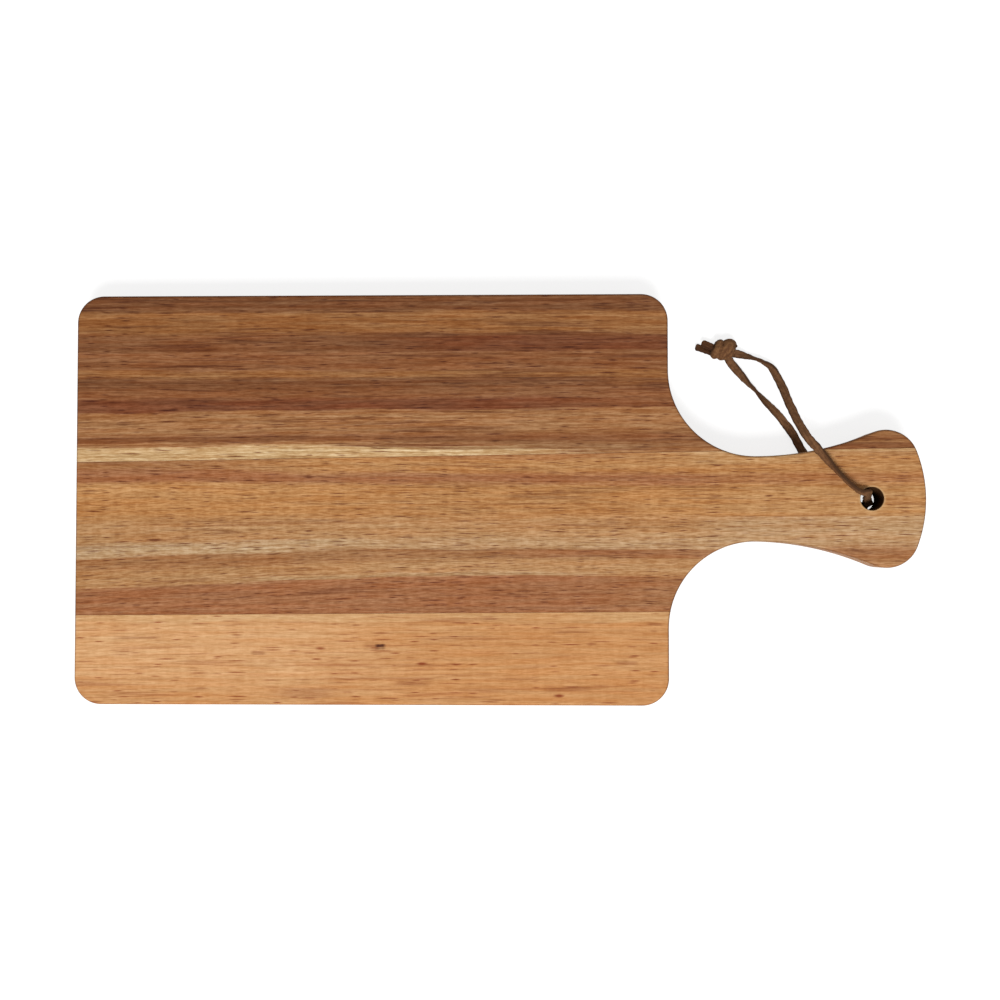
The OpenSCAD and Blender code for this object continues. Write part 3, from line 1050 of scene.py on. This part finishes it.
for piece, name, look, slot in (
    (upper, "darkStaveWood", upperLook, "wood_dark"),
    (middle, "goldenStaveWood", middleLook, "wood_mid"),
    (lower, "paleStaveWood", lowerLook, "wood_pale"),
    (slip, "slipWood", slipLook, "wood_dark"),
):
    piece.data.materials.clear()
    piece.data.materials.append(woodMaterial(name, look))
    if piece == middle:
        piece.data.materials.append(patchyMaterial("shadedBore", bore))
    for face in piece.data.polygons:
        face.material_index = int(inBore(face))
print("wood finished")


# Cured glue, a hair's breadth in each seam

glueFilm = {
    "tones": ((112, 72, 44), (140, 94, 58)),
    "patches": (0.01, 0.002, 5.0),
    "evenness": 0.3,
    "roughness": 0.7,
    "specular": 0.15,
    "relief": 0.00002,
}
glue = patchyMaterial("curedGlue", glueFilm)
for name in ("upper_glue_line", "lower_glue_line", "slip_glue_line"):
    film = frame["nodes"][name]
    film.data.materials.clear()
    film.data.materials.append(glue)
print("glue lines finished")


# Table and light

studio = {
    "floorSize": 6,
    "floorDrop": 0.0001,
    "floorColour": 0.4,
    "floorRoughness": 0.9,
    "floorGlow": 0.78,
    "world": 0.37,
    "keyPlace": (0.1, -1.5, 2.3),
    "keySize": 0.9,
    "keyPower": 60,
}


def addFloor():
    bpy.ops.object.select_all(action="DESELECT")
    bpy.ops.mesh.primitive_grid_add(x_subdivisions=4, y_subdivisions=4, size=studio["floorSize"],
                                    location=(0, 0, -studio["floorDrop"]))
    floor = bpy.context.object
    floor.name = "paleTable"
    material, tree, shader = newMaterial("paleTable")
    dress(tree, shader, (*[studio["floorColour"]] * 3, 1), studio["floorRoughness"], 0.0)
    glow = tree.nodes.new("ShaderNodeEmission")
    glow.inputs["Strength"].default_value = studio["floorGlow"]
    rays = tree.nodes.new("ShaderNodeLightPath")
    seen = sums(tree, "MAXIMUM", rays.outputs["Is Camera Ray"], rays.outputs["Is Glossy Ray"])
    seen = sums(tree, "MAXIMUM", seen, rays.outputs["Is Transmission Ray"])
    dark = tree.nodes.new("ShaderNodeEmission")
    dark.inputs["Strength"].default_value = 0
    pick = tree.nodes.new("ShaderNodeMixShader")
    tree.links.new(seen, pick.inputs[0])
    tree.links.new(dark.outputs[0], pick.inputs[1])
    tree.links.new(glow.outputs[0], pick.inputs[2])
    both = tree.nodes.new("ShaderNodeAddShader")
    tree.links.new(shader.outputs[0], both.inputs[0])
    tree.links.new(pick.outputs[0], both.inputs[1])
    tree.links.new(both.outputs[0], tree.nodes["Material Output"].inputs[0])
    floor.data.materials.append(material)


def addLights():
    world = bpy.context.scene.world or bpy.data.worlds.new("studio")
    bpy.context.scene.world = world
    world.use_nodes = True
    tree = world.node_tree
    sky = tree.nodes["Background"]
    sky.inputs["Color"].default_value = (1, 1, 1, 1)
    rays = tree.nodes.new("ShaderNodeLightPath")
    seen = sums(tree, "MAXIMUM", rays.outputs["Is Camera Ray"], rays.outputs["Is Transmission Ray"])
    level = tree.nodes.new("ShaderNodeMapRange")
    plug(tree, level.inputs[0], seen)
    level.inputs[3].default_value = studio["world"]
    level.inputs[4].default_value = 1
    tree.links.new(level.outputs[0], sky.inputs["Strength"])
    bpy.ops.object.select_all(action="DESELECT")
    bpy.ops.object.light_add(type="AREA", location=studio["keyPlace"])
    key = bpy.context.object
    key.data.energy = studio["keyPower"]
    key.data.size = studio["keySize"]
    toBoard = Vector((0, 0, 0)) - Vector(studio["keyPlace"])
    key.rotation_euler = toBoard.to_track_quat("-Z", "Y").to_euler()


addFloor()
addLights()
bpy.context.scene.view_settings.view_transform = "Standard"
print("table and light set")
